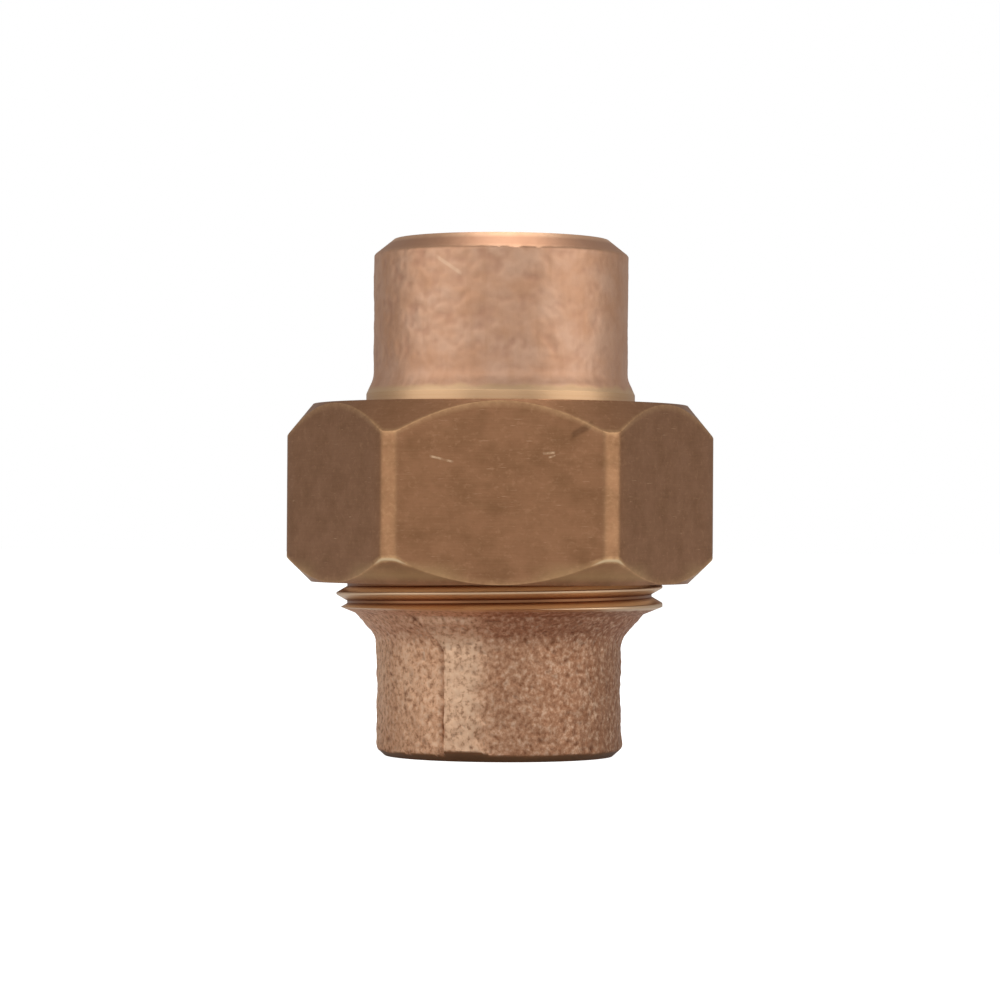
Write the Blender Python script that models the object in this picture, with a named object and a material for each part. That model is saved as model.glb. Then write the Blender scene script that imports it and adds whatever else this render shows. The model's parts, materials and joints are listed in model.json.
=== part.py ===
"""Pipe union, 3/4 in, solder cup at both ends.

Three pieces share one axis, +Z, with the lower mouth at z = 0:
threaded_end  the lower body: solder cup, flare, male thread and a conical seat in its top
tailpiece     the upper body: solder cup, neck, collar and the round nose that meets the seat
union_nut     the hexagon nut that hangs on the collar and pulls the two bodies together
Lengths are in metres, angles in degrees where a name says so, otherwise in radians.
"""
import math

import bmesh
import bpy
from mathutils import Matrix

MM = 0.001
SEGMENTS = 48                      # facets round every turned surface

# waterway and solder cups, the same at both ends
WATERWAY_RADIUS = 10.0 * MM
CUP_RADIUS = 11.165 * MM           # a 7/8 in tube, 22.225 mm, slips in with 0.1 mm to spare
CUP_DEPTH = 19.05 * MM

# union thread, 14 turns to the inch, right-handed
PITCH = 25.4 * MM / 14
MAJOR_RADIUS = 17.30 * MM
THREAD_DEPTH = 1.16 * MM
CREST_WIDTH = 0.225 * MM
HALF_ANGLE = math.radians(30)
NUT_THREAD_CLEARANCE = 0.22 * MM   # radial, between the male and the female thread
GROOVE_OVERRUN = 0.13 * MM         # how far a groove's space reaches past the turned blank
GROOVE_TURNS = 9                   # enough to run out past both ends of either thread
CREST_HEIGHT = 16.15 * MM          # where a crest crosses the +X side of the threaded end

# threaded end
CAST_RADIUS = 12.9 * MM
MOUTH_RADIUS = 12.1 * MM
MOUTH_CHAMFER_HEIGHT = 0.7 * MM
FLARE_START = 11.55 * MM
FLARE_RADIUS = 2.6 * MM
FLARE_TOP_RADIUS = 15.3 * MM
SHOULDER_SLOPE = math.radians(22)
THREADED_END_TOP = 29.5 * MM
LEAD_IN = 1.35 * MM
SEAT_TOP_RADIUS = 13.8 * MM        # the seat is a 45 degree cone that opens upwards
SEAT_BOTTOM = THREADED_END_TOP - (SEAT_TOP_RADIUS - WATERWAY_RADIUS)
PAD_RADIUS = 13.35 * MM
PAD_START_DEG, PAD_END_DEG = -28.0, -5.0      # from the front, -Y, towards +X
PAD_BOTTOM, PAD_TOP = 1.1 * MM, 13.9 * MM
PAD_FOOT_DROP = 0.2 * MM           # the buried foot lies lower, so the underside slopes out

# tailpiece
NOSE_RADIUS = 17.0 * MM
SEAT_GAP = 0.15 * MM
NOSE_TOP_RADIUS = 14.4 * MM
COLLAR_RADIUS = 15.75 * MM
COLLAR_TOP = 33.45 * MM
NECK_RADIUS = 14.25 * MM
NECK_TOP = 38.2 * MM
SHOULDER_TOP = 40.1 * MM
SHOULDER_CURVE = ((0.2, 0.35), (0.8, 0.7))    # shares of its way in and up, at two corners
TAIL_RADIUS = 13.47 * MM
TAIL_CHAMFER_START = 53.0 * MM
TAIL_MOUTH_RADIUS = 11.75 * MM
TAIL_TOP = 54.6 * MM

# union nut
ACROSS_FLATS = 40.0 * MM
CORNER_RADIUS = 22.6 * MM
NUT_BOTTOM = 18.3 * MM
NUT_TOP = 37.1 * MM
TOP_CHAMFER_RADIUS, TOP_CHAMFER_HEIGHT = 19.85 * MM, 3.35 * MM
BOTTOM_CHAMFER_RADIUS, BOTTOM_CHAMFER_HEIGHT = 20.1 * MM, 2.5 * MM
FLANGE_HOLE_RADIUS = 14.55 * MM
FLANGE_UNDERSIDE = 33.6 * MM
RELIEF_RADIUS = 17.65 * MM
RELIEF_BOTTOM = 30.7 * MM
ENTRY_RADIUS = 18.2 * MM

# (colour, roughness, metallic)
FINISHES = {
    "sand_cast_bronze_end": ((0.372, 0.196, 0.118), 0.55, 0.9),
    "cast_bronze_tailpiece": ((0.474, 0.274, 0.174), 0.5, 0.9),
    "machined_bronze_nut": ((0.224, 0.115, 0.058), 0.38, 0.95),
}


def clear_scene():
    for item in list(bpy.data.objects):
        bpy.data.objects.remove(item, do_unlink=True)


def finish(name):
    colour, roughness, metallic = FINISHES[name]
    material = bpy.data.materials.new(name)
    material.use_nodes = True
    shader = material.node_tree.nodes["Principled BSDF"]
    shader.inputs["Base Color"].default_value = (*colour, 1.0)
    shader.inputs["Roughness"].default_value = roughness
    shader.inputs["Metallic"].default_value = metallic
    return material


def new_object(name, mesh_builder, material=None):
    mesh = bpy.data.meshes.new(name)
    mesh_builder.to_mesh(mesh)
    mesh_builder.free()
    mesh.shade_smooth()
    mesh.set_sharp_from_angle(angle=math.radians(25))
    if material:
        mesh.materials.append(material)
    piece = bpy.data.objects.new(name, mesh)
    bpy.context.collection.objects.link(piece)
    return piece


def arc(centre, radius, start, end, steps):
    """Points (r, z) on an arc, with its two ends."""
    points = []
    for step in range(steps + 1):
        angle = start + (end - start) * step / steps
        points.append((centre[0] + radius * math.cos(angle), centre[1] + radius * math.sin(angle)))
    return points


def turned(profile, start=0.0, sweep=2 * math.pi, segments=SEGMENTS):
    """A closed (r, z) outline spun about +Z, right round or through part of a turn."""
    spun = bmesh.new()
    corners = [spun.verts.new((r * math.cos(start), r * math.sin(start), z)) for r, z in profile]
    outline = [spun.edges.new((corners[i - 1], corners[i])) for i in range(len(corners))]
    full_turn = abs(sweep - 2 * math.pi) < 1e-6
    first = corners + outline if full_turn else corners + outline + [spun.faces.new(corners)]
    bmesh.ops.spin(spun, geom=first, cent=(0, 0, 0), axis=(0, 0, 1), angle=sweep,
                   steps=segments, use_merge=full_turn, use_duplicate=False)
    bmesh.ops.recalc_face_normals(spun, faces=spun.faces)
    return spun


def helix(section, first_height, turns):
    """A closed (r, z) section swept up a right-handed helix, with flat ends.

    It starts half a facet on from +X, so its edges cross a blank's facets at their middles.
    """
    swept = bmesh.new()
    half_facet = math.pi / SEGMENTS
    lift = first_height + PITCH / SEGMENTS / 2
    corners = [swept.verts.new((r * math.cos(half_facet), r * math.sin(half_facet), lift + z))
               for r, z in section]
    end_face = swept.faces.new(corners)
    bmesh.ops.spin(swept, geom=[end_face], cent=(0, 0, 0), axis=(0, 0, 1),
                   dvec=(0, 0, PITCH / SEGMENTS), angle=2 * math.pi * turns,
                   steps=round(SEGMENTS * turns), use_duplicate=False)
    bmesh.ops.recalc_face_normals(swept, faces=swept.faces)
    return swept


def boolean(piece, operation, other):
    modifier = piece.modifiers.new(other.name, "BOOLEAN")
    modifier.operation = operation
    modifier.solver = "EXACT"
    modifier.object = other
    other.hide_render = True
    other.display_type = "WIRE"


def thread_groove(name, flat_radius, flat_width, open_radius, centre_height):
    """The helical space of a thread groove: flat at its root and wider towards open_radius."""
    spread = abs(open_radius - flat_radius) * math.tan(HALF_ANGLE)
    half_flat = flat_width / 2
    section = [
        (flat_radius, -half_flat),
        (open_radius, -half_flat - spread),
        (open_radius, half_flat + spread),
        (flat_radius, half_flat),
    ]
    return new_object(name, helix(section, centre_height, GROOVE_TURNS))


def make_threaded_end():
    flare = arc((CAST_RADIUS + FLARE_RADIUS, FLARE_START), FLARE_RADIUS,
                math.pi, math.radians(135), 4)
    foot_radius, foot_height = flare[-1]
    flare_top = foot_height + FLARE_TOP_RADIUS - foot_radius
    shoulder_top = flare_top + (MAJOR_RADIUS - FLARE_TOP_RADIUS) * math.tan(SHOULDER_SLOPE)
    profile = [
        (WATERWAY_RADIUS, CUP_DEPTH),
        (WATERWAY_RADIUS, SEAT_BOTTOM),
        (SEAT_TOP_RADIUS, THREADED_END_TOP),
        (MAJOR_RADIUS - LEAD_IN, THREADED_END_TOP),
        (MAJOR_RADIUS, THREADED_END_TOP - LEAD_IN),
        (MAJOR_RADIUS, shoulder_top),
        (FLARE_TOP_RADIUS, flare_top),
        *reversed(flare),
        (CAST_RADIUS, MOUTH_CHAMFER_HEIGHT),
        (MOUTH_RADIUS, 0),
        (CUP_RADIUS, 0),
        (CUP_RADIUS, CUP_DEPTH),
    ]
    piece = new_object("threaded_end", turned(profile), finish("sand_cast_bronze_end"))

    front = math.radians(270)
    buried_radius = (CUP_RADIUS + CAST_RADIUS) / 2
    pad_outline = [
        (buried_radius, PAD_BOTTOM - PAD_FOOT_DROP),
        (PAD_RADIUS, PAD_BOTTOM),
        (PAD_RADIUS, PAD_TOP),
        (buried_radius, PAD_TOP),
    ]
    pad = new_object("pad_form", turned(pad_outline, front + math.radians(PAD_START_DEG),
                                        math.radians(PAD_END_DEG - PAD_START_DEG), 4))
    boolean(piece, "UNION", pad)

    root_width = PITCH - CREST_WIDTH - 2 * THREAD_DEPTH * math.tan(HALF_ANGLE)
    groove = thread_groove("male_thread_groove", MAJOR_RADIUS - THREAD_DEPTH, root_width,
                           MAJOR_RADIUS + GROOVE_OVERRUN, CREST_HEIGHT - PITCH / 2)
    boolean(piece, "DIFFERENCE", groove)
    return piece


def make_tailpiece():
    cone_apex = SEAT_BOTTOM - WATERWAY_RADIUS
    nose_centre = cone_apex + (NOSE_RADIUS + SEAT_GAP) * math.sqrt(2)
    nose = arc((0, nose_centre), NOSE_RADIUS, -math.acos(WATERWAY_RADIUS / NOSE_RADIUS),
               -math.acos(NOSE_TOP_RADIUS / NOSE_RADIUS), 5)
    collar_bottom = nose[-1][1]
    step_in = NECK_RADIUS - TAIL_RADIUS
    step_up = SHOULDER_TOP - NECK_TOP
    profile = [
        *nose,
        (COLLAR_RADIUS, collar_bottom),
        (COLLAR_RADIUS, COLLAR_TOP),
        (NECK_RADIUS, COLLAR_TOP),
        (NECK_RADIUS, NECK_TOP),
        *[(NECK_RADIUS - inward * step_in, NECK_TOP + upward * step_up)
          for inward, upward in SHOULDER_CURVE],
        (TAIL_RADIUS, SHOULDER_TOP),
        (TAIL_RADIUS, TAIL_CHAMFER_START),
        (TAIL_MOUTH_RADIUS, TAIL_TOP),
        (CUP_RADIUS, TAIL_TOP),
        (CUP_RADIUS, TAIL_TOP - CUP_DEPTH),
        (WATERWAY_RADIUS, TAIL_TOP - CUP_DEPTH),
    ]
    return new_object("tailpiece", turned(profile), finish("cast_bronze_tailpiece"))


def hexagon_bar():
    """A bar that is longer than the nut, with its flats to the front and back."""
    bar = bmesh.new()
    corner = ACROSS_FLATS / math.sqrt(3)
    bmesh.ops.create_cone(bar, cap_ends=True, segments=6, radius1=corner, radius2=corner,
                          depth=2 * (NUT_TOP - NUT_BOTTOM))
    turn = Matrix.Rotation(math.radians(30), 4, "Z")
    raise_to_nut = Matrix.Translation((0, 0, (NUT_TOP + NUT_BOTTOM) / 2))
    bmesh.ops.transform(bar, matrix=raise_to_nut @ turn, verts=bar.verts)
    return new_object("hexagon_bar", bar)


def make_union_nut():
    minor_radius = MAJOR_RADIUS - THREAD_DEPTH + NUT_THREAD_CLEARANCE
    major_radius = MAJOR_RADIUS + NUT_THREAD_CLEARANCE
    profile = [
        (TOP_CHAMFER_RADIUS, NUT_TOP),
        (CORNER_RADIUS, NUT_TOP - TOP_CHAMFER_HEIGHT),
        (CORNER_RADIUS, NUT_BOTTOM + BOTTOM_CHAMFER_HEIGHT),
        (BOTTOM_CHAMFER_RADIUS, NUT_BOTTOM),
        (ENTRY_RADIUS, NUT_BOTTOM),
        (minor_radius, NUT_BOTTOM + ENTRY_RADIUS - minor_radius),
        (minor_radius, RELIEF_BOTTOM),
        (RELIEF_RADIUS, RELIEF_BOTTOM + (RELIEF_RADIUS - minor_radius) * math.tan(HALF_ANGLE)),
        (RELIEF_RADIUS, FLANGE_UNDERSIDE),
        (FLANGE_HOLE_RADIUS, FLANGE_UNDERSIDE),
        (FLANGE_HOLE_RADIUS, NUT_TOP),
    ]
    piece = new_object("union_nut", turned(profile), finish("machined_bronze_nut"))
    boolean(piece, "INTERSECT", hexagon_bar())
    groove = thread_groove("female_thread_groove", major_radius, CREST_WIDTH,
                           minor_radius - GROOVE_OVERRUN, CREST_HEIGHT)
    boolean(piece, "DIFFERENCE", groove)
    return piece


def main():
    clear_scene()
    make_threaded_end()
    make_tailpiece()
    make_union_nut()


main()
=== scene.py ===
"""A cast bronze pipe union on a studio floor: tailpiece above, hexagon union nut, threaded end below."""
import json
import math

import bmesh
import bpy
from mathutils import Matrix, Vector, noise


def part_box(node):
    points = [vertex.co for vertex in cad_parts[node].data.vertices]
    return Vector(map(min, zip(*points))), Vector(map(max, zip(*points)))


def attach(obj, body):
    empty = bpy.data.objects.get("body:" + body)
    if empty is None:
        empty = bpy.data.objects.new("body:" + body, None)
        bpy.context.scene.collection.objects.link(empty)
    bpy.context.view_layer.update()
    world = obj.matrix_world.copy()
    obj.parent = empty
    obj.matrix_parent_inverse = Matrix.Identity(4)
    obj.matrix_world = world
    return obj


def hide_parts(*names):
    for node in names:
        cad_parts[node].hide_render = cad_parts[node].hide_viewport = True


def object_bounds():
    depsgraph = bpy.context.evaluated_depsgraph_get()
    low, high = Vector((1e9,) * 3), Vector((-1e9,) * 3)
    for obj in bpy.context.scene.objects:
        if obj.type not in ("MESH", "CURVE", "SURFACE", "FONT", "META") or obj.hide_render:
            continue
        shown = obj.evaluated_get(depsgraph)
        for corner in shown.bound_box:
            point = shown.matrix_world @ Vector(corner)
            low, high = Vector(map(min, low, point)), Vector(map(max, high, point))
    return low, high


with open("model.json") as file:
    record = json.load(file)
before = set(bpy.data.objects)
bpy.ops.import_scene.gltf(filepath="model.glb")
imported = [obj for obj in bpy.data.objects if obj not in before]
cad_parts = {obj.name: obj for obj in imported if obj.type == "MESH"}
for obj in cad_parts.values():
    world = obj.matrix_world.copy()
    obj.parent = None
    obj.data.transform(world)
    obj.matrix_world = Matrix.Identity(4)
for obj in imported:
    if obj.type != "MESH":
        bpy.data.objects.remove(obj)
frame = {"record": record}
cad_low, cad_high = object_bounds()

MM = 0.001

# ---------------------------------------------------------------- sizes from the frame
END_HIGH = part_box("threaded_end")[1]
TAIL_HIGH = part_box("tailpiece")[1]
NUT_LOW, NUT_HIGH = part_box("union_nut")
COUPLING = frame["record"]["behaviour"]["couplings"][0]

PITCH = COUPLING["ratio"] * 2 * math.pi
MAJOR_RADIUS = END_HIGH.x
END_TOP = END_HIGH.z
TAIL_TOP = TAIL_HIGH.z
COLLAR_RADIUS = TAIL_HIGH.x
NUT_BOTTOM, NUT_TOP = NUT_LOW.z, NUT_HIGH.z
HALF_FLATS = NUT_HIGH.y
CORNER_RADIUS = NUT_HIGH.x

# ---------------------------------------------------------------- sizes the box doesn't show
WATERWAY_RADIUS = 10.0 * MM
CUP_RADIUS = 11.165 * MM
CUP_DEPTH = 19.05 * MM
MOUTH_EASE = 0.2 * MM

THREAD_DEPTH = 1.16 * MM
CREST_WIDTH = 0.225 * MM
HALF_ANGLE = math.radians(30)
NUT_THREAD_CLEARANCE = 0.22 * MM
CREST_HEIGHT = 16.15 * MM
CREST_EASE = 0.17 * MM
OVERRUN = 0.15 * MM

CAST_RADIUS = 12.9 * MM
MOUTH_RADIUS = 12.1 * MM
MOUTH_CHAMFER_HEIGHT = 0.7 * MM
FLARE_START = 11.55 * MM
FLARE_RADIUS = 2.6 * MM
FLARE_TOP_RADIUS = 15.3 * MM
SHOULDER_SLOPE = math.radians(22)
LEAD_IN = 1.35 * MM
SEAT_TOP_RADIUS = 13.8 * MM
SEAT_BOTTOM = END_TOP - (SEAT_TOP_RADIUS - WATERWAY_RADIUS)

NOSE_RADIUS = 17.0 * MM
NOSE_TOP_RADIUS = 14.4 * MM
SEAT_GAP = 0.15 * MM
COLLAR_TOP = 33.45 * MM
NECK_RADIUS = 14.25 * MM
NECK_TOP = 38.2 * MM
SHOULDER_TOP = 39.9 * MM
TAIL_RADIUS = 13.47 * MM
TAIL_CHAMFER_START = 52.95 * MM
TAIL_MOUTH_RADIUS = 11.4 * MM

TOP_CHAMFER_RADIUS, TOP_CHAMFER_HEIGHT = 19.85 * MM, 3.35 * MM
BOTTOM_CHAMFER_RADIUS, BOTTOM_CHAMFER_HEIGHT = 19.97 * MM, 2.55 * MM
FLANGE_HOLE_RADIUS = 14.55 * MM
FLANGE_UNDERSIDE = 33.6 * MM
RELIEF_RADIUS = 17.65 * MM
RELIEF_BOTTOM = 30.7 * MM
ENTRY_RADIUS = 18.2 * MM
NUT_MINOR_RADIUS = MAJOR_RADIUS - THREAD_DEPTH + NUT_THREAD_CLEARANCE
THREAD_TURNS = 9               # turns cut in each thread; the nut engages about five of them

# mesh fineness
BODY_COLUMNS = 432
THREAD_STEPS = 216             # half the columns; with the half facet in helix(), none coincide
SKIN_STEP = 0.19 * MM
SMOOTH_BELOW = math.radians(40)

# camera
EYE_DISTANCE = 385 * MM
EYE_HEIGHT = 24.2 * MM
AIM_HEIGHT = 27.05 * MM
FOCAL_LENGTH = 130.6           # in millimetres, on a 36 mm sensor
ROLL = math.radians(0.35)      # the camera leans a little to one side


# ================================================================ shapes
def eased(corners, steps=3):
    """The points of a closed (r, z, ease) outline, each corner rounded by an arc of radius ease."""
    points = []
    for index, (r, z, ease) in enumerate(corners):
        here = Vector((r, z))
        if not ease:
            points.append(here)
            continue
        back = (Vector(corners[index - 1][:2]) - here).normalized()
        on = (Vector(corners[(index + 1) % len(corners)][:2]) - here).normalized()
        half = back.angle(on) / 2
        middle = here + (back + on).normalized() * ease / math.sin(half)
        first = here + back * ease / math.tan(half) - middle
        last = here + on * ease / math.tan(half) - middle
        turn = first.angle_signed(last)
        points += [middle + Matrix.Rotation(-turn * step / steps, 2) @ first
                   for step in range(steps + 1)]
    return points


def arc(centre, radius, start, end, steps):
    """Sharp (r, z, 0) corners on an arc, with its two ends."""
    corners = []
    for step in range(steps + 1):
        angle = start + (end - start) * step / steps
        corners.append((centre[0] + radius * math.cos(angle),
                        centre[1] + radius * math.sin(angle), 0))
    return corners


def filled(points, spacing):
    """The closed outline again, with no step longer than spacing(middle of the step)."""
    dense = []
    for index, point in enumerate(points):
        after = points[(index + 1) % len(points)]
        count = max(1, math.ceil((after - point).length / spacing((point + after) / 2)))
        dense += [point.lerp(after, part / count) for part in range(count)]
    return dense


def spin_round(shape, outline, columns, sectors):
    """Spins an outline through one sector of the circle, then repeats and joins the sectors."""
    turn = 2 * math.pi / sectors
    around = {"cent": (0, 0, 0), "axis": (0, 0, 1)}
    bmesh.ops.spin(shape, geom=outline, angle=turn, steps=columns // sectors,
                   use_duplicate=False, **around)
    bmesh.ops.spin(shape, geom=shape.verts[:] + shape.edges[:] + shape.faces[:],
                   angle=turn * (sectors - 1), steps=sectors - 1, use_duplicate=True, **around)
    bmesh.ops.remove_doubles(shape, verts=shape.verts, dist=0.001 * MM)
    bmesh.ops.recalc_face_normals(shape, faces=shape.faces)


def turned(points, columns):
    """A closed (r, z) outline spun right round +Z."""
    spun = bmesh.new()
    corners = [spun.verts.new((r, 0, z)) for r, z in points]
    outline = [spun.edges.new((corners[i - 1], corners[i])) for i in range(len(corners))]
    spin_round(spun, corners + outline, columns, 12)
    return spun


def helix(section, centre_height, turns):
    """A closed (r, z) section swept up a right-handed helix, with flat ends."""
    swept = bmesh.new()
    offset = math.pi / BODY_COLUMNS
    lift = centre_height + PITCH * offset / (2 * math.pi)
    corners = [swept.verts.new((r * math.cos(offset), r * math.sin(offset), lift + z))
               for r, z in section]
    outline = [swept.edges.new((corners[i - 1], corners[i])) for i in range(len(corners))]
    around = {"cent": (0, 0, 0), "axis": (0, 0, 1)}
    bmesh.ops.spin(swept, geom=corners + outline, dvec=(0, 0, PITCH / THREAD_STEPS),
                   angle=2 * math.pi, steps=THREAD_STEPS, use_duplicate=False, **around)
    bmesh.ops.spin(swept, geom=swept.verts[:] + swept.edges[:] + swept.faces[:],
                   dvec=(0, 0, PITCH), angle=2 * math.pi * (turns - 1), steps=turns - 1,
                   use_duplicate=True, **around)
    bmesh.ops.remove_doubles(swept, verts=swept.verts, dist=0.001 * MM)
    bmesh.ops.holes_fill(swept, edges=[edge for edge in swept.edges if edge.is_boundary])
    bmesh.ops.recalc_face_normals(swept, faces=swept.faces)
    return swept


def as_object(name, shape):
    mesh = bpy.data.meshes.new(name)
    shape.to_mesh(mesh)
    shape.free()
    made = bpy.data.objects.new(name, mesh)
    bpy.context.scene.collection.objects.link(made)
    return made


def cut(piece, cutter):
    """Takes cutter's solid out of piece, and removes cutter."""
    modifier = piece.modifiers.new("cut", "BOOLEAN")
    modifier.operation = "DIFFERENCE"
    modifier.solver = "EXACT"
    modifier.object = cutter
    bpy.context.view_layer.update()
    whole = piece.data
    piece.data = bpy.data.meshes.new_from_object(
        piece.evaluated_get(bpy.context.evaluated_depsgraph_get()))
    piece.data.name = piece.name
    piece.modifiers.clear()
    bpy.data.meshes.remove(whole)
    bpy.data.objects.remove(cutter)


def groove(root_radius, root_width, open_radius, centre_height, turns):
    """The helical space of a thread groove, from its flat root to just past open_radius.

    Its flanks turn outwards before open_radius, which eases the crest that is left.
    """
    out = 1 if open_radius > root_radius else -1
    tangent = math.tan(HALF_ANGLE)
    depth = abs(open_radius - root_radius)
    half_root = root_width / 2
    crest_edge = half_root + depth * tangent
    reach = CREST_EASE * math.tan(math.radians(30))
    foot = depth - reach * math.cos(HALF_ANGLE)
    upper = [(0, half_root), (foot, half_root + foot * tangent)]
    for turn in (20, 40):
        angle = math.radians(turn)
        upper.append((depth - CREST_EASE * (1 - math.cos(math.radians(60) - angle)),
                      crest_edge + reach - CREST_EASE * math.sin(math.radians(60) - angle)))
    upper.append((depth - 0.008 * MM, crest_edge + reach))
    upper.append((depth + OVERRUN, crest_edge + reach))
    section = [(root_radius + out * d, -w) for d, w in upper]
    section += [(root_radius + out * d, w) for d, w in reversed(upper)]
    return as_object("groove", helix(section, centre_height, turns))


def polar(place):
    """Radius, angle in degrees from the front (-Y) towards +X, and height in millimetres."""
    return (math.hypot(place.x, place.y), math.degrees(math.atan2(place.x, -place.y)),
            place.z / MM)


def blend(low, high, value):
    """0 below low, 1 above high, and a smooth rise between."""
    part = min(1.0, max(0.0, (value - low) / (high - low)))
    return part * part * (3 - 2 * part)


def finish_mesh(piece, material):
    piece.data.shade_smooth()
    piece.data.set_sharp_from_angle(angle=SMOOTH_BELOW)
    piece.data.materials.append(material)


# ================================================================ cast skins
def pits(place, size, depth, share):
    """Small round pits, one in share of the cells of that size, in millimetres below the skin."""
    distances, points = noise.voronoi(place / size)
    if noise.cell(points[0] * 7.3 + Vector((3.1, 5.7, 1.9))) * 0.5 + 0.5 > share:
        return 0.0
    return depth * (1 - blend(0.0, 0.3, distances[0]))


def sand_skin(place):
    """Relief of the rough sand-cast skin, in millimetres: the swell, and the grain with its pits."""
    p = place / MM
    swell = 0.14 * noise.noise(p / 5.0) + 0.06 * noise.noise(p / 2.2 + Vector((9, 2, 4)))
    grain = 0.055 * noise.noise(p / 0.8 + Vector((1, 7, 3)))
    grain += 0.05 * noise.noise(p / 0.45 + Vector((5, 0, 8)))
    grain -= 0.07 * blend(0.2, 0.65, noise.noise(p / 0.5 + Vector((8, 3, 1))))
    return swell, grain - pits(p, 1.4, 0.08, 0.15)


def pad_edge(height):
    """Angle of the pad's sharp left edge: straight up the cup, then curving away on the flare."""
    return -25.6 - 9.5 * blend(10.6, 15.6, height) + 0.5 * noise.noise(Vector((0, 4, height / 2.1)))


def pad_relief(angle, height):
    """The raised cast pad, with the narrow groove that follows its sharp left edge."""
    left = pad_edge(height)
    fade = 1 - 0.5 * blend(12.3, 14.7, height)
    ragged = 3.0 * noise.noise(Vector((2, 1, height / 1.6)))
    rise = blend(left - 0.4, left + 0.8, angle) * (1 - blend(-12.5 + ragged, -5.0 + ragged, angle))
    crease = math.exp(-((angle - left + 1.3) / 0.9) ** 2)
    return rise, crease, fade * (0.5 * rise - 0.22 * crease)


def seam_relief(angle, height):
    """What is left of the mould's parting line down each side, broken up along its length."""
    side = min(abs(abs(angle) - 90), 12)
    broken = max(0.0, 0.35 + noise.noise(Vector((angle * 0.01, 3, height / 2.6))))
    return 0.22 * broken * math.exp(-(side / 3.2) ** 2)


# ================================================================ pieces
def threaded_end():
    flare = arc((CAST_RADIUS + FLARE_RADIUS, FLARE_START), FLARE_RADIUS,
                math.radians(135), math.pi, 8)
    foot_radius, foot_height = flare[0][:2]
    flare_top = foot_height + FLARE_TOP_RADIUS - foot_radius
    shoulder_top = flare_top + (MAJOR_RADIUS - FLARE_TOP_RADIUS) * math.tan(SHOULDER_SLOPE)
    fillet = 0.35 * MM
    corners = [
        (WATERWAY_RADIUS, CUP_DEPTH, 0.15 * MM),
        (WATERWAY_RADIUS, SEAT_BOTTOM, 0.1 * MM),
        (SEAT_TOP_RADIUS, END_TOP, 0.12 * MM),
        (MAJOR_RADIUS - LEAD_IN, END_TOP, 0.12 * MM),
        (MAJOR_RADIUS, END_TOP - LEAD_IN, 0),
        (MAJOR_RADIUS, shoulder_top, 0),
        (FLARE_TOP_RADIUS, flare_top, 0),
        *flare,
        (CAST_RADIUS, 0.05 * MM, 0),
        (MOUTH_RADIUS, 0, 0),
        (CUP_RADIUS, 0, MOUTH_EASE),
        (CUP_RADIUS, CUP_DEPTH, fillet),
    ]

    def spacing(middle):
        on_skin = middle.x > MOUTH_RADIUS and middle.y < flare_top
        if on_skin and middle.y < 1.5 * MM:
            return 0.12 * MM
        on_shoulder = middle.x > FLARE_TOP_RADIUS and middle.y < shoulder_top
        return SKIN_STEP if on_skin or on_shoulder else 3 * MM

    piece = as_object("threaded_end_cast", turned(filled(eased(corners), spacing), BODY_COLUMNS))
    root_width = PITCH - CREST_WIDTH - 2 * THREAD_DEPTH * math.tan(HALF_ANGLE)
    cut(piece, groove(MAJOR_RADIUS - THREAD_DEPTH, root_width, MAJOR_RADIUS,
                      CREST_HEIGHT - PITCH / 2, THREAD_TURNS))
    roughen_end(piece, flare_top)
    return piece


def roughen_end(piece, flare_top):
    """Moves the cup and flare into a sand-cast skin, and marks where the skin and the pad are."""
    shape = bmesh.new()
    shape.from_mesh(piece.data)
    shape.normal_update()
    skin_layer = shape.verts.layers.float.new("skin")
    relief_layer = shape.verts.layers.float.new("relief")
    rubbed_layer = shape.verts.layers.float.new("rubbed")
    for vert in shape.verts:
        radius, angle, height = polar(vert.co)
        if radius < MOUTH_RADIUS + 0.05 * MM:
            continue
        shoulder = flare_top + (radius - FLARE_TOP_RADIUS) * math.tan(SHOULDER_SLOPE)
        if radius > FLARE_TOP_RADIUS and abs(vert.co.z - shoulder) < 0.03 * MM:
            ragged = 0.25 * noise.noise(Vector((angle / 4.0, 8, 0)))
            vert[skin_layer] = 1 - blend(16.5 + ragged, 16.8 + ragged, radius / MM)
            vert[rubbed_layer] = 0.25 * pad_relief(angle, height)[0]
        if height > flare_top / MM + 0.02:
            continue
        swell, grain = sand_skin(vert.co)
        cast = 1 - blend(14.7, 15.25, radius / MM)
        pad, crease, pad_lift = pad_relief(angle, height)
        ragged_fade = 0.9 * noise.noise(Vector((angle / 3.0, 2, 6)))
        lift = swell + grain + pad_lift + seam_relief(angle, height)
        outward = vert.normal.copy()
        outward.z *= blend(0.8, 2.0, height)
        vert.co += outward * lift * cast * MM
        vert[rubbed_layer] = pad * (1 - 0.75 * blend(12.2, 14.2, height + ragged_fade))
        vert[skin_layer] = 1.0
        vert[relief_layer] = grain - 0.07 * crease
        radius = math.hypot(vert.co.x, vert.co.y)
        cone = MOUTH_RADIUS + vert.co.z * (CAST_RADIUS - MOUTH_RADIUS) / MOUTH_CHAMFER_HEIGHT
        if radius > cone:
            vert.co.xy *= cone / radius
            vert[skin_layer] = 0.0
    shape.to_mesh(piece.data)
    shape.free()


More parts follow.
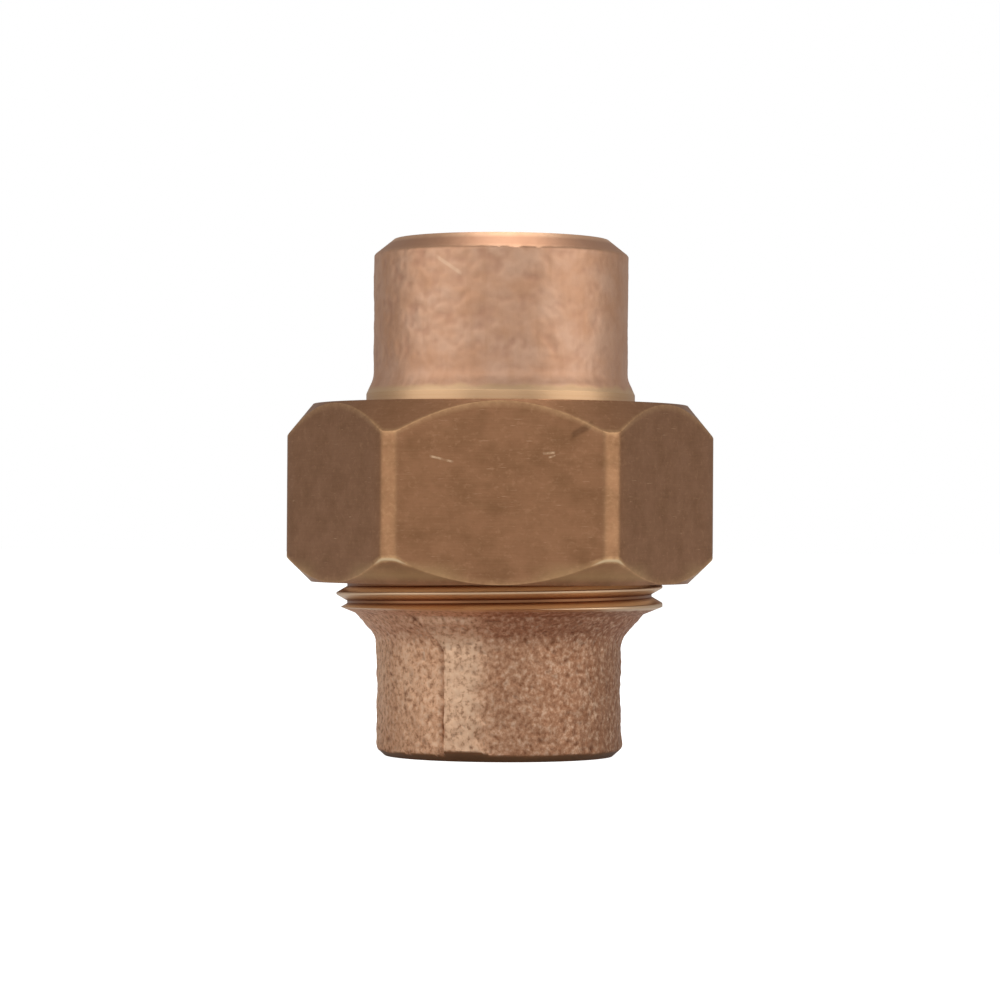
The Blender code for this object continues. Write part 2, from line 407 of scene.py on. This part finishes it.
def tailpiece():
    cone_apex = SEAT_BOTTOM - WATERWAY_RADIUS
    nose_centre = cone_apex + (NOSE_RADIUS + SEAT_GAP) * math.sqrt(2)
    nose = arc((0, nose_centre), NOSE_RADIUS, -math.acos(WATERWAY_RADIUS / NOSE_RADIUS),
               -math.acos(NOSE_TOP_RADIUS / NOSE_RADIUS), 16)
    shoulder_ease = 2.5 * MM
    corners = [
        *nose,
        (COLLAR_RADIUS, nose[-1][1], 0.2 * MM),
        (COLLAR_RADIUS, COLLAR_TOP, 0.2 * MM),
        (NECK_RADIUS, COLLAR_TOP, 0.2 * MM),
        (NECK_RADIUS, NECK_TOP, 0.3 * MM),
        (TAIL_RADIUS, SHOULDER_TOP, shoulder_ease),
        (TAIL_RADIUS, TAIL_TOP - 0.05 * MM, 0),
        (TAIL_MOUTH_RADIUS, TAIL_TOP, 0),
        (CUP_RADIUS, TAIL_TOP, MOUTH_EASE),
        (CUP_RADIUS, TAIL_TOP - CUP_DEPTH, 0.35 * MM),
        (WATERWAY_RADIUS, TAIL_TOP - CUP_DEPTH, 0.15 * MM),
    ]

    def spacing(middle):
        on_skin = middle.x > TAIL_MOUTH_RADIUS and middle.y > NECK_TOP - MM
        if on_skin and middle.y > TAIL_CHAMFER_START - 0.5 * MM:
            return 0.12 * MM
        return SKIN_STEP if on_skin else 3 * MM

    piece = as_object("tailpiece_cast", turned(filled(eased(corners), spacing), BODY_COLUMNS))
    roughen_tail(piece)
    return piece


def roughen_tail(piece):
    """Moves the cup's outside into a smoother cast skin, and marks where that skin is."""
    shape = bmesh.new()
    shape.from_mesh(piece.data)
    shape.normal_update()
    skin_layer = shape.verts.layers.float.new("skin")
    relief_layer = shape.verts.layers.float.new("relief")
    slope = (TAIL_RADIUS - TAIL_MOUTH_RADIUS) / (TAIL_TOP - TAIL_CHAMFER_START)
    for vert in shape.verts:
        radius, angle, height = polar(vert.co)
        if radius < TAIL_MOUTH_RADIUS + 0.05 * MM or height < NECK_TOP / MM - 1:
            continue
        p = vert.co / MM
        peel = 0.05 * noise.noise(p / 1.4) + 0.05 * noise.noise(p / 0.8 + Vector((4, 4, 1)))
        grain = 0.014 * noise.noise(p / 0.45 + Vector((2, 9, 6)))
        swell = 0.07 * noise.noise(p / 6.0 + Vector((0, 3, 8)))
        ragged = 0.3 * noise.noise(Vector((angle / 7.0, 5, 2)))
        cast = blend(38.5 + ragged, 39.0 + ragged, height)
        calm = 0.4 + 0.6 * blend(39.5, 43.0, height) * (1 - blend(0.0, 60.0, angle))
        outward = vert.normal.copy()
        outward.z *= 1 - blend(52.0, 52.9, height)
        vert.co += outward * (swell + peel * calm + grain) * cast * MM
        vert[skin_layer] = cast
        vert[relief_layer] = peel * calm + grain
        radius = math.hypot(vert.co.x, vert.co.y)
        cone = TAIL_MOUTH_RADIUS + (TAIL_TOP - vert.co.z) * slope
        if radius > cone:
            vert.co.xy *= cone / radius
            vert[skin_layer] = 0.7
    shape.to_mesh(piece.data)
    shape.free()


def side_radius(angle):
    """Radius of the nut's side at an angle from the middle of a flat: flat, then turned corner."""
    flat = HALF_FLATS / math.cos(angle)
    ease = 0.1 * MM
    over = (flat - CORNER_RADIUS) / ease
    if over > 4:
        return CORNER_RADIUS
    return flat if over < -4 else CORNER_RADIUS - ease * math.log1p(math.exp(-over))


def sector_angles():
    """Column angles from the middle of one flat to the next, close together at the corner."""
    band = math.acos(HALF_FLATS / CORNER_RADIUS)
    step = math.radians(0.3)
    half = [band * part / 14 for part in range(14)][:-1]
    half += [band - 3 * step + step * part for part in range(7)]
    rest = math.radians(30) - half[-1]
    half += [half[-1] + rest * part / 3 for part in (1, 2)]
    return half + [math.radians(30)] + [math.radians(60) - angle for angle in reversed(half[1:])]


def nut_outline():
    """The nut's outline at its corner radius, as (point, pull) pairs.

    pull is how far a point moves, in r and z, for each unit that the side lies inside the corner.
    """
    top_slope = TOP_CHAMFER_HEIGHT / (CORNER_RADIUS - TOP_CHAMFER_RADIUS)
    bottom_slope = BOTTOM_CHAMFER_HEIGHT / (CORNER_RADIUS - BOTTOM_CHAMFER_RADIUS)
    edge = 0.35 * MM
    relief_step = (RELIEF_RADIUS - NUT_MINOR_RADIUS) * math.tan(HALF_ANGLE)
    side_top = NUT_TOP - TOP_CHAMFER_HEIGHT
    side_bottom = NUT_BOTTOM + BOTTOM_CHAMFER_HEIGHT
    corners = [
        (FLANGE_HOLE_RADIUS, NUT_TOP, 0.3 * MM),
        (TOP_CHAMFER_RADIUS, NUT_TOP, 0.1 * MM),
        (CORNER_RADIUS, side_top, edge),
        (CORNER_RADIUS, side_bottom, edge),
        (BOTTOM_CHAMFER_RADIUS, NUT_BOTTOM, 0.1 * MM),
        (ENTRY_RADIUS, NUT_BOTTOM, 0.1 * MM),
        (NUT_MINOR_RADIUS, NUT_BOTTOM + ENTRY_RADIUS - NUT_MINOR_RADIUS, 0),
        (NUT_MINOR_RADIUS, RELIEF_BOTTOM, 0),
        (RELIEF_RADIUS, RELIEF_BOTTOM + relief_step, 0),
        (RELIEF_RADIUS, FLANGE_UNDERSIDE, 0.3 * MM),
        (FLANGE_HOLE_RADIUS, FLANGE_UNDERSIDE, 0.2 * MM),
    ]

    def spacing(middle):
        return 0.4 * MM if middle.x > TOP_CHAMFER_RADIUS - 0.2 * MM else 3 * MM

    pulled = []
    for point in filled(eased(corners, 5), spacing):
        r, z = point
        if z >= side_top - edge and r > TOP_CHAMFER_RADIUS:
            share = min(1.0, (r - TOP_CHAMFER_RADIUS) / (CORNER_RADIUS - TOP_CHAMFER_RADIUS))
            pull = (share, -share * top_slope)
        elif z <= side_bottom + edge and r > BOTTOM_CHAMFER_RADIUS:
            share = min(1.0, (r - BOTTOM_CHAMFER_RADIUS) / (CORNER_RADIUS - BOTTOM_CHAMFER_RADIUS))
            pull = (share, share * bottom_slope)
        elif r > CORNER_RADIUS - 0.01 * MM:
            share = (z - side_bottom) / (side_top - side_bottom)
            pull = (1.0, (1 - share) * bottom_slope - share * top_slope)
        else:
            pull = (0.0, 0.0)
        pulled.append((point, pull))
    return pulled


def union_nut():
    outline = nut_outline()
    sector = sector_angles()
    columns = 6 * len(sector)

    shape = bmesh.new()
    pull_layer = shape.verts.layers.float_vector.new("pull")
    wear_and_highlight_layer = shape.verts.layers.float.new("wear_and_highlight")
    corners = []
    for point, pull in outline:
        corner = shape.verts.new((point.x, 0, point.y))
        corner[pull_layer] = (pull[0], 0, pull[1])
        corners.append(corner)
    edges = [shape.edges.new((corners[i - 1], corners[i])) for i in range(len(corners))]
    spin_round(shape, corners + edges, columns, 6)
    first_flat = math.radians(30)
    for vert in shape.verts:
        column = round(math.atan2(vert.co.y, vert.co.x) / (2 * math.pi) * columns) % columns
        flat, part = divmod(column, len(sector))
        angle = first_flat + math.radians(60) * flat + sector[part]
        from_flat = min(sector[part], math.radians(60) - sector[part])
        inward = side_radius(from_flat) - CORNER_RADIUS
        pull = vert[pull_layer]
        if math.hypot(vert.co.x, vert.co.y) > TOP_CHAMFER_RADIUS:
            from_top = abs(NUT_TOP - TOP_CHAMFER_HEIGHT - vert.co.z) / MM
            from_bottom = abs(NUT_BOTTOM + BOTTOM_CHAMFER_HEIGHT - vert.co.z) / MM
            past_flat = CORNER_RADIUS * (from_flat - math.acos(HALF_FLATS / CORNER_RADIUS)) / MM
            on_side = abs(pull.x - 1) < 0.01
            # edge wear on the top and bottom rims, partly a painted highlight; up to 2 along the bottom
            # edge of each corner band, a painted highlight; faint painted light on the corner bands
            vert[wear_and_highlight_layer] = max(0.9 * (1 - from_top / 0.42), 0.8 * (1 - from_bottom / 0.3), 0.0,
                                   2.0 * (1 - from_bottom / 0.4) * blend(-1.8, -0.2, past_flat),
                                   on_side * 0.25 * blend(-0.35, 0.1, past_flat))
        radius = math.hypot(vert.co.x, vert.co.y) + inward * pull.x
        vert.co = (radius * math.cos(angle), radius * math.sin(angle),
                   vert.co.z + inward * pull.z)
    piece = as_object("union_nut_hexagon", shape)
    cut(piece, groove(MAJOR_RADIUS + NUT_THREAD_CLEARANCE, CREST_WIDTH, NUT_MINOR_RADIUS,
                      CREST_HEIGHT, THREAD_TURNS))
    return piece


# ================================================================ finishes
class Finish:
    """A Principled BSDF material, and short ways to add the nodes that feed it."""

    def __init__(self, name):
        self.material = bpy.data.materials.new(name)
        self.material.use_nodes = True
        self.tree = self.material.node_tree
        self.shader = self.tree.nodes["Principled BSDF"]
        self.place = self.node("TexCoord").outputs["Object"]

    def node(self, kind, sockets=None, **settings):
        made = self.tree.nodes.new("ShaderNode" + kind)
        for key, value in settings.items():
            setattr(made, key, value)
        for key, value in (sockets or {}).items():
            self.feed(made.inputs[key], value)
        return made

    def feed(self, socket, value):
        if isinstance(value, bpy.types.NodeSocket):
            self.tree.links.new(value, socket)
        else:
            socket.default_value = value

    def stretched(self, x, y, z):
        """Object coordinates in millimetres, divided by a feature size along each axis."""
        share = (1 / (x * MM), 1 / (y * MM), 1 / (z * MM))
        return self.node("VectorMath", {0: self.place, 1: share}, operation="MULTIPLY").outputs[0]

    def noise(self, vector, detail=3.0, roughness=0.55, scale=1.0):
        return self.node("TexNoise", {"Vector": vector, "Scale": scale, "Detail": detail,
                                      "Roughness": roughness}).outputs["Fac"]

    def math(self, operation, a, b=0.0, c=0.0, clamp=False):
        made = self.node("Math", {0: a, 1: b, 2: c}, operation=operation)
        made.use_clamp = clamp
        return made.outputs[0]

    def remap(self, value, low, high, to_low=0.0, to_high=1.0):
        return self.node("MapRange", {"Value": value, "From Min": low, "From Max": high,
                                      "To Min": to_low, "To Max": to_high}).outputs["Result"]

    def mix(self, share, a, b):
        made = self.node("Mix", data_type="RGBA")
        self.feed(made.inputs["Factor"], share)
        self.feed(made.inputs[6], a)
        self.feed(made.inputs[7], b)
        return made.outputs[2]

    def attribute(self, name):
        return self.node("Attribute", attribute_name=name).outputs["Fac"]

    def radius(self):
        """Distance from the axis, in millimetres."""
        flat = self.node("VectorMath", {0: self.place, 1: (1 / MM, 1 / MM, 0)},
                         operation="MULTIPLY").outputs[0]
        return self.node("VectorMath", {0: flat}, operation="LENGTH").outputs["Value"]

    def height(self):
        """Height over the lower mouth, in millimetres."""
        split = self.node("SeparateXYZ", {0: self.place}).outputs["Z"]
        return self.math("MULTIPLY", split, 1 / MM)

    def lathe_marks(self, size):
        """Fine turning marks: noise that changes with radius and height, but not round the axis."""
        rings = self.node("CombineXYZ", {"X": self.radius(), "Y": 0.0, "Z": self.height()}).outputs[0]
        return self.noise(rings, detail=2.0, roughness=0.6, scale=1 / size)

    def mark(self, x, z, length, rise, width):
        """A short straight mark on the front: 1 on it, 0 off it. Sizes in millimetres."""
        split = self.node("SeparateXYZ", {0: self.place}).outputs
        along = self.math("SUBTRACT", split["X"], x * MM)
        level = self.math("MULTIPLY_ADD", along, rise, z * MM)
        off = self.math("ABSOLUTE", self.math("SUBTRACT", split["Z"], level))
        on_line = self.remap(off, width * MM, 0.4 * width * MM)
        on_length = self.remap(self.math("ABSOLUTE", along), 0.5 * length * MM, 0.35 * length * MM)
        on_front = self.math("LESS_THAN", split["Y"], -5 * MM)
        return self.math("MULTIPLY", self.math("MULTIPLY", on_line, on_length), on_front)

    def bump(self, height, distance, strength=1.0, normal=None):
        made = self.node("Bump", {"Height": height, "Distance": distance, "Strength": strength})
        if normal:
            self.feed(made.inputs["Normal"], normal)
        return made.outputs[0]

    def set(self, **sockets):
        names = {"colour": "Base Color", "roughness": "Roughness", "metallic": "Metallic",
                 "normal": "Normal"}
        for key, value in sockets.items():
            self.feed(self.shader.inputs[names[key]], value)


def colour(red, green, blue):
    """A display colour, 0 to 255, as the linear colour a shader takes."""
    def linear(value):
        value /= 255
        return value / 12.92 if value <= 0.04045 else ((value + 0.055) / 1.055) ** 2.4
    return linear(red), linear(green), linear(blue), 1.0


def sand_cast_bronze():
    made = Finish("sand_cast_bronze")
    skin = made.attribute("skin")
    relief = made.attribute("relief")
    painted_shade_across = made.node("SeparateXYZ", {0: made.place}).outputs["X"]
    patches = made.noise(made.stretched(4.0, 4.0, 6.0), 2.0)
    grain = made.noise(made.stretched(0.5, 0.5, 0.55), 3.0, 0.65)
    tone = made.mix(made.remap(patches, 0.35, 0.65), colour(226, 178, 142), colour(242, 198, 162))
    # painted shade: the lower cup is darker from the pad's right edge (x -3 to 0 mm) rightwards, and
    # darker still from 5 to 12 mm
    tone = made.mix(made.remap(painted_shade_across, -3 * MM, 0, 0.0, 0.75), tone, colour(188, 138, 106))
    tone = made.mix(made.remap(painted_shade_across, 5 * MM, 12 * MM, 0.0, 0.5), tone, colour(164, 118, 90))
    tone = made.mix(made.remap(made.height(), 11.5, 13.5, 0.0, 0.3), tone, colour(190, 128, 102))
    tone = made.mix(made.math("MULTIPLY", made.attribute("rubbed"), 0.6), tone,
                    colour(250, 214, 180))
    tone = made.mix(made.remap(grain, 0.5, 0.72, 0.0, 0.7), tone, colour(250, 218, 188))
    tone = made.mix(made.remap(grain, 0.5, 0.32, 0.0, 0.7), tone, colour(150, 100, 70))
    tone = made.mix(made.remap(relief, -0.02, -0.12, 0.0, 0.75), tone, colour(122, 76, 50))
    bright = made.mix(made.remap(made.lathe_marks(0.2), 0.3, 0.7), colour(234, 196, 156),
                      colour(242, 208, 172))
    # painted shade: darker below radius 16.2 mm, in the thread roots and everything further in
    bright = made.mix(made.remap(made.radius(), 16.7, 16.2), bright, colour(160, 110, 76))
    # painted contact shadow: darker below 1.2 mm, on the mouth chamfer next to the floor
    bright = made.mix(made.remap(made.height(), 1.2, 0.8), bright, colour(150, 112, 82))
    made.set(colour=made.mix(skin, bright, tone),
             roughness=made.mix(skin, (0.34,) * 3 + (1,), (0.55,) * 3 + (1,)),
             metallic=1.0)
    fine = made.bump(made.noise(made.stretched(0.22, 0.22, 0.22), 2.0), 0.02 * MM, 0.6)
    marks = made.bump(made.lathe_marks(0.12), 0.006 * MM, 0.5, fine)
    made.set(normal=marks)
    return made.material


def smooth_cast_bronze():
    made = Finish("smooth_cast_bronze")
    skin = made.attribute("skin")
    relief = made.attribute("relief")
    streaks = made.noise(made.stretched(1.2, 1.2, 6.0), 3.0)
    patches = made.noise(made.stretched(4.0, 4.0, 3.0), 3.0)
    tone = made.mix(made.remap(patches, 0.35, 0.65), colour(222, 172, 138), colour(230, 186, 156))
    tone = made.mix(made.remap(streaks, 0.5, 0.8, 0.0, 0.4), tone, colour(204, 152, 116))
    tone = made.mix(made.remap(relief, 0.0, -0.05, 0.0, 0.5), tone, colour(196, 144, 118))
    tone = made.mix(made.math("MULTIPLY", made.mark(-5.4, 51.1, 2.8, -0.7, 0.3), 0.5), tone,
                    colour(250, 212, 178))
    bright = made.mix(made.remap(made.lathe_marks(0.2), 0.3, 0.7), colour(230, 186, 140),
                      colour(238, 198, 156))
    chamfer = made.math("MULTIPLY", made.remap(made.height(), 52.7, 53.3, 0.0, 0.75),
                        made.remap(made.height(), 54.35, 54.0))
    bright = made.mix(chamfer, bright, colour(186, 136, 106))
    tone = made.mix(chamfer, tone, colour(186, 136, 106))
    made.set(colour=made.mix(skin, bright, tone),
             roughness=made.mix(skin, (0.4,) * 3 + (1,), (0.48,) * 3 + (1,)),
             metallic=1.0)
    fine = made.bump(made.noise(made.stretched(0.3, 0.3, 0.3), 3.0), 0.015 * MM, 0.5)
    marks = made.bump(made.lathe_marks(0.12), 0.005 * MM, 0.4, fine)
    made.set(normal=marks)
    return made.material


def machined_bronze():
    made = Finish("machined_bronze")
    stain = made.noise(made.stretched(3.0, 3.0, 2.4), 4.0, 0.6)
    fleck = made.noise(made.stretched(0.6, 0.6, 0.5), 3.0, 0.6)
    brush = made.noise(made.stretched(4.0, 4.0, 0.16), 2.0, 0.6)
    tone = made.mix(made.remap(stain, 0.35, 0.7), colour(180, 130, 95), colour(156, 112, 79))
    tone = made.mix(made.remap(fleck, 0.55, 0.75, 0.0, 0.4), tone, colour(206, 156, 118))
    tone = made.mix(made.remap(brush, 0.4, 0.8, 0.0, 0.15), tone, colour(205, 160, 118))
    scratch = made.noise(made.stretched(1.6, 1.6, 0.11), 2.0, 0.5)
    tone = made.mix(made.remap(scratch, 0.7, 0.78, 0.0, 0.7), tone, colour(224, 180, 142))
    # painted light: the bottom chamfers at the corners are lighter and more golden, as if lit from the
    # floor below
    painted_underlight = made.remap(made.height(), (NUT_BOTTOM + BOTTOM_CHAMFER_HEIGHT) / MM,
                       NUT_BOTTOM / MM + 0.6, 0.0, 0.7)
    inward = made.remap(made.radius(), 20.2, 20.9)
    tone = made.mix(made.math("MULTIPLY", painted_underlight, inward), tone, colour(206, 168, 120))
    # the edge marks: real edge wear along the rims, with a painted highlight on them and painted light
    # on the corner bands
    worn_and_highlit = made.math("MULTIPLY", made.attribute("wear_and_highlight"),
                     made.remap(fleck, 0.3, 0.6, 0.4, 1.0), clamp=True)
    tone = made.mix(made.math("MULTIPLY", made.mark(8.2, 34.0, 2.4, 0.55, 0.5), 0.45), tone,
                    colour(96, 66, 46))
    tone = made.mix(worn_and_highlit, tone, colour(218, 172, 126))
    # painted highlight: a bright line along the bottom edge of each corner band, where the edge mark
    # passes 1
    tone = made.mix(made.remap(made.attribute("wear_and_highlight"), 1.0, 1.8), tone, colour(250, 220, 176))
    broken = made.remap(fleck, 0.35, 0.6, 0.1, 0.75)
    # bright marks on the front flat: a scratch at x -5.9 mm, and nicks near x 5 mm painted as a bright
    # glint
    for place in ((-5.9, 31.0, 2.6, -0.25, 0.15), (4.9, 31.65, 1.3, 0.08, 0.15),
                  (5.2, 31.3, 0.8, 0.3, 0.12)):
        tone = made.mix(made.math("MULTIPLY", made.mark(*place), broken), tone,
                        colour(250, 212, 172))
    made.set(colour=tone, roughness=made.remap(stain, 0.3, 0.7, 0.36, 0.48),
             metallic=1.0)
    pebble = made.bump(fleck, 0.02 * MM, 0.4)
    made.set(normal=made.bump(brush, 0.005 * MM, 0.3, pebble))
    return made.material


# ================================================================ studio
def studio():
    scene = bpy.context.scene
    scene.view_settings.view_transform = "Standard"

    slab = bmesh.new()
    bmesh.ops.create_grid(slab, x_segments=1, y_segments=1, size=3.0)
    floor = as_object("studio_floor", slab)
    pale = Finish("pale_floor")
    speck = pale.noise(pale.stretched(40, 40, 40), 2.0)
    pale.set(colour=pale.mix(speck, (0.74, 0.74, 0.74, 1), (0.8, 0.8, 0.8, 1)), roughness=0.8)
    pale.shader.inputs["Emission Color"].default_value = (1, 1, 1, 1)
    # the floor glows to the camera only, so it looks white and lights nothing
    seen = pale.node("LightPath").outputs["Is Camera Ray"]
    pale.feed(pale.shader.inputs["Emission Strength"], seen)
    floor.data.materials.append(pale.material)

    world = bpy.data.worlds.new("studio")
    scene.world = world
    world.use_nodes = True
    tree = world.node_tree
    background = tree.nodes["Background"]
    seen = tree.nodes.new("ShaderNodeLightPath")
    strength = tree.nodes.new("ShaderNodeMapRange")
    strength.inputs["To Min"].default_value = 0.32
    strength.inputs["To Max"].default_value = 1.0
    tree.links.new(seen.outputs["Is Camera Ray"], strength.inputs["Value"])
    tree.links.new(strength.outputs["Result"], background.inputs["Strength"])
    background.inputs["Color"].default_value = (1, 1, 1, 1)

    middle = Vector((0, 0, cad_high.z / 2))
    # name, place and size in metres, power in watts
    softboxes = [
        ("left_softbox", (-0.48, -0.3, 0.25), 0.7, 1.15),
        ("right_softbox", (0.5, -0.25, 0.2), 0.6, 1.0),
        ("top_softbox", (0.03, 0.12, 0.6), 0.28, 0.8),
        ("front_softbox", (0.0, -0.75, 0.35), 0.5, 0.55),
    ]
    for name, place, size, power in softboxes:
        lamp = bpy.data.lights.new(name, "AREA")
        lamp.size = size
        lamp.energy = power
        holder = bpy.data.objects.new(name, lamp)
        holder.location = place
        holder.rotation_euler = (middle - Vector(place)).to_track_quat("-Z", "Y").to_euler()
        scene.collection.objects.link(holder)

    eye = Vector((0, -EYE_DISTANCE, EYE_HEIGHT))
    aim = Vector((0, 0, AIM_HEIGHT))
    lens = bpy.data.cameras.new("camera")
    lens.sensor_width = 36
    lens.lens = FOCAL_LENGTH
    lens.clip_start = 0.01
    camera = bpy.data.objects.new("camera", lens)
    camera.location = eye
    level = (aim - eye).to_track_quat("-Z", "Y").to_matrix()
    camera.rotation_euler = (level @ Matrix.Rotation(ROLL, 3, "Z")).to_euler()
    scene.collection.objects.link(camera)
    scene.camera = camera


def main():
    lower = threaded_end()
    finish_mesh(lower, sand_cast_bronze())
    upper = tailpiece()
    finish_mesh(upper, smooth_cast_bronze())
    nut = union_nut()
    finish_mesh(nut, machined_bronze())
    for piece, body, slot in ((lower, "threaded_end", "sand_cast_bronze_end"),
                              (upper, "tailpiece", "cast_bronze_tailpiece"),
                              (nut, "union_nut", "machined_bronze_nut")):
        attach(piece, body)
        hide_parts(body)
    studio()


main()
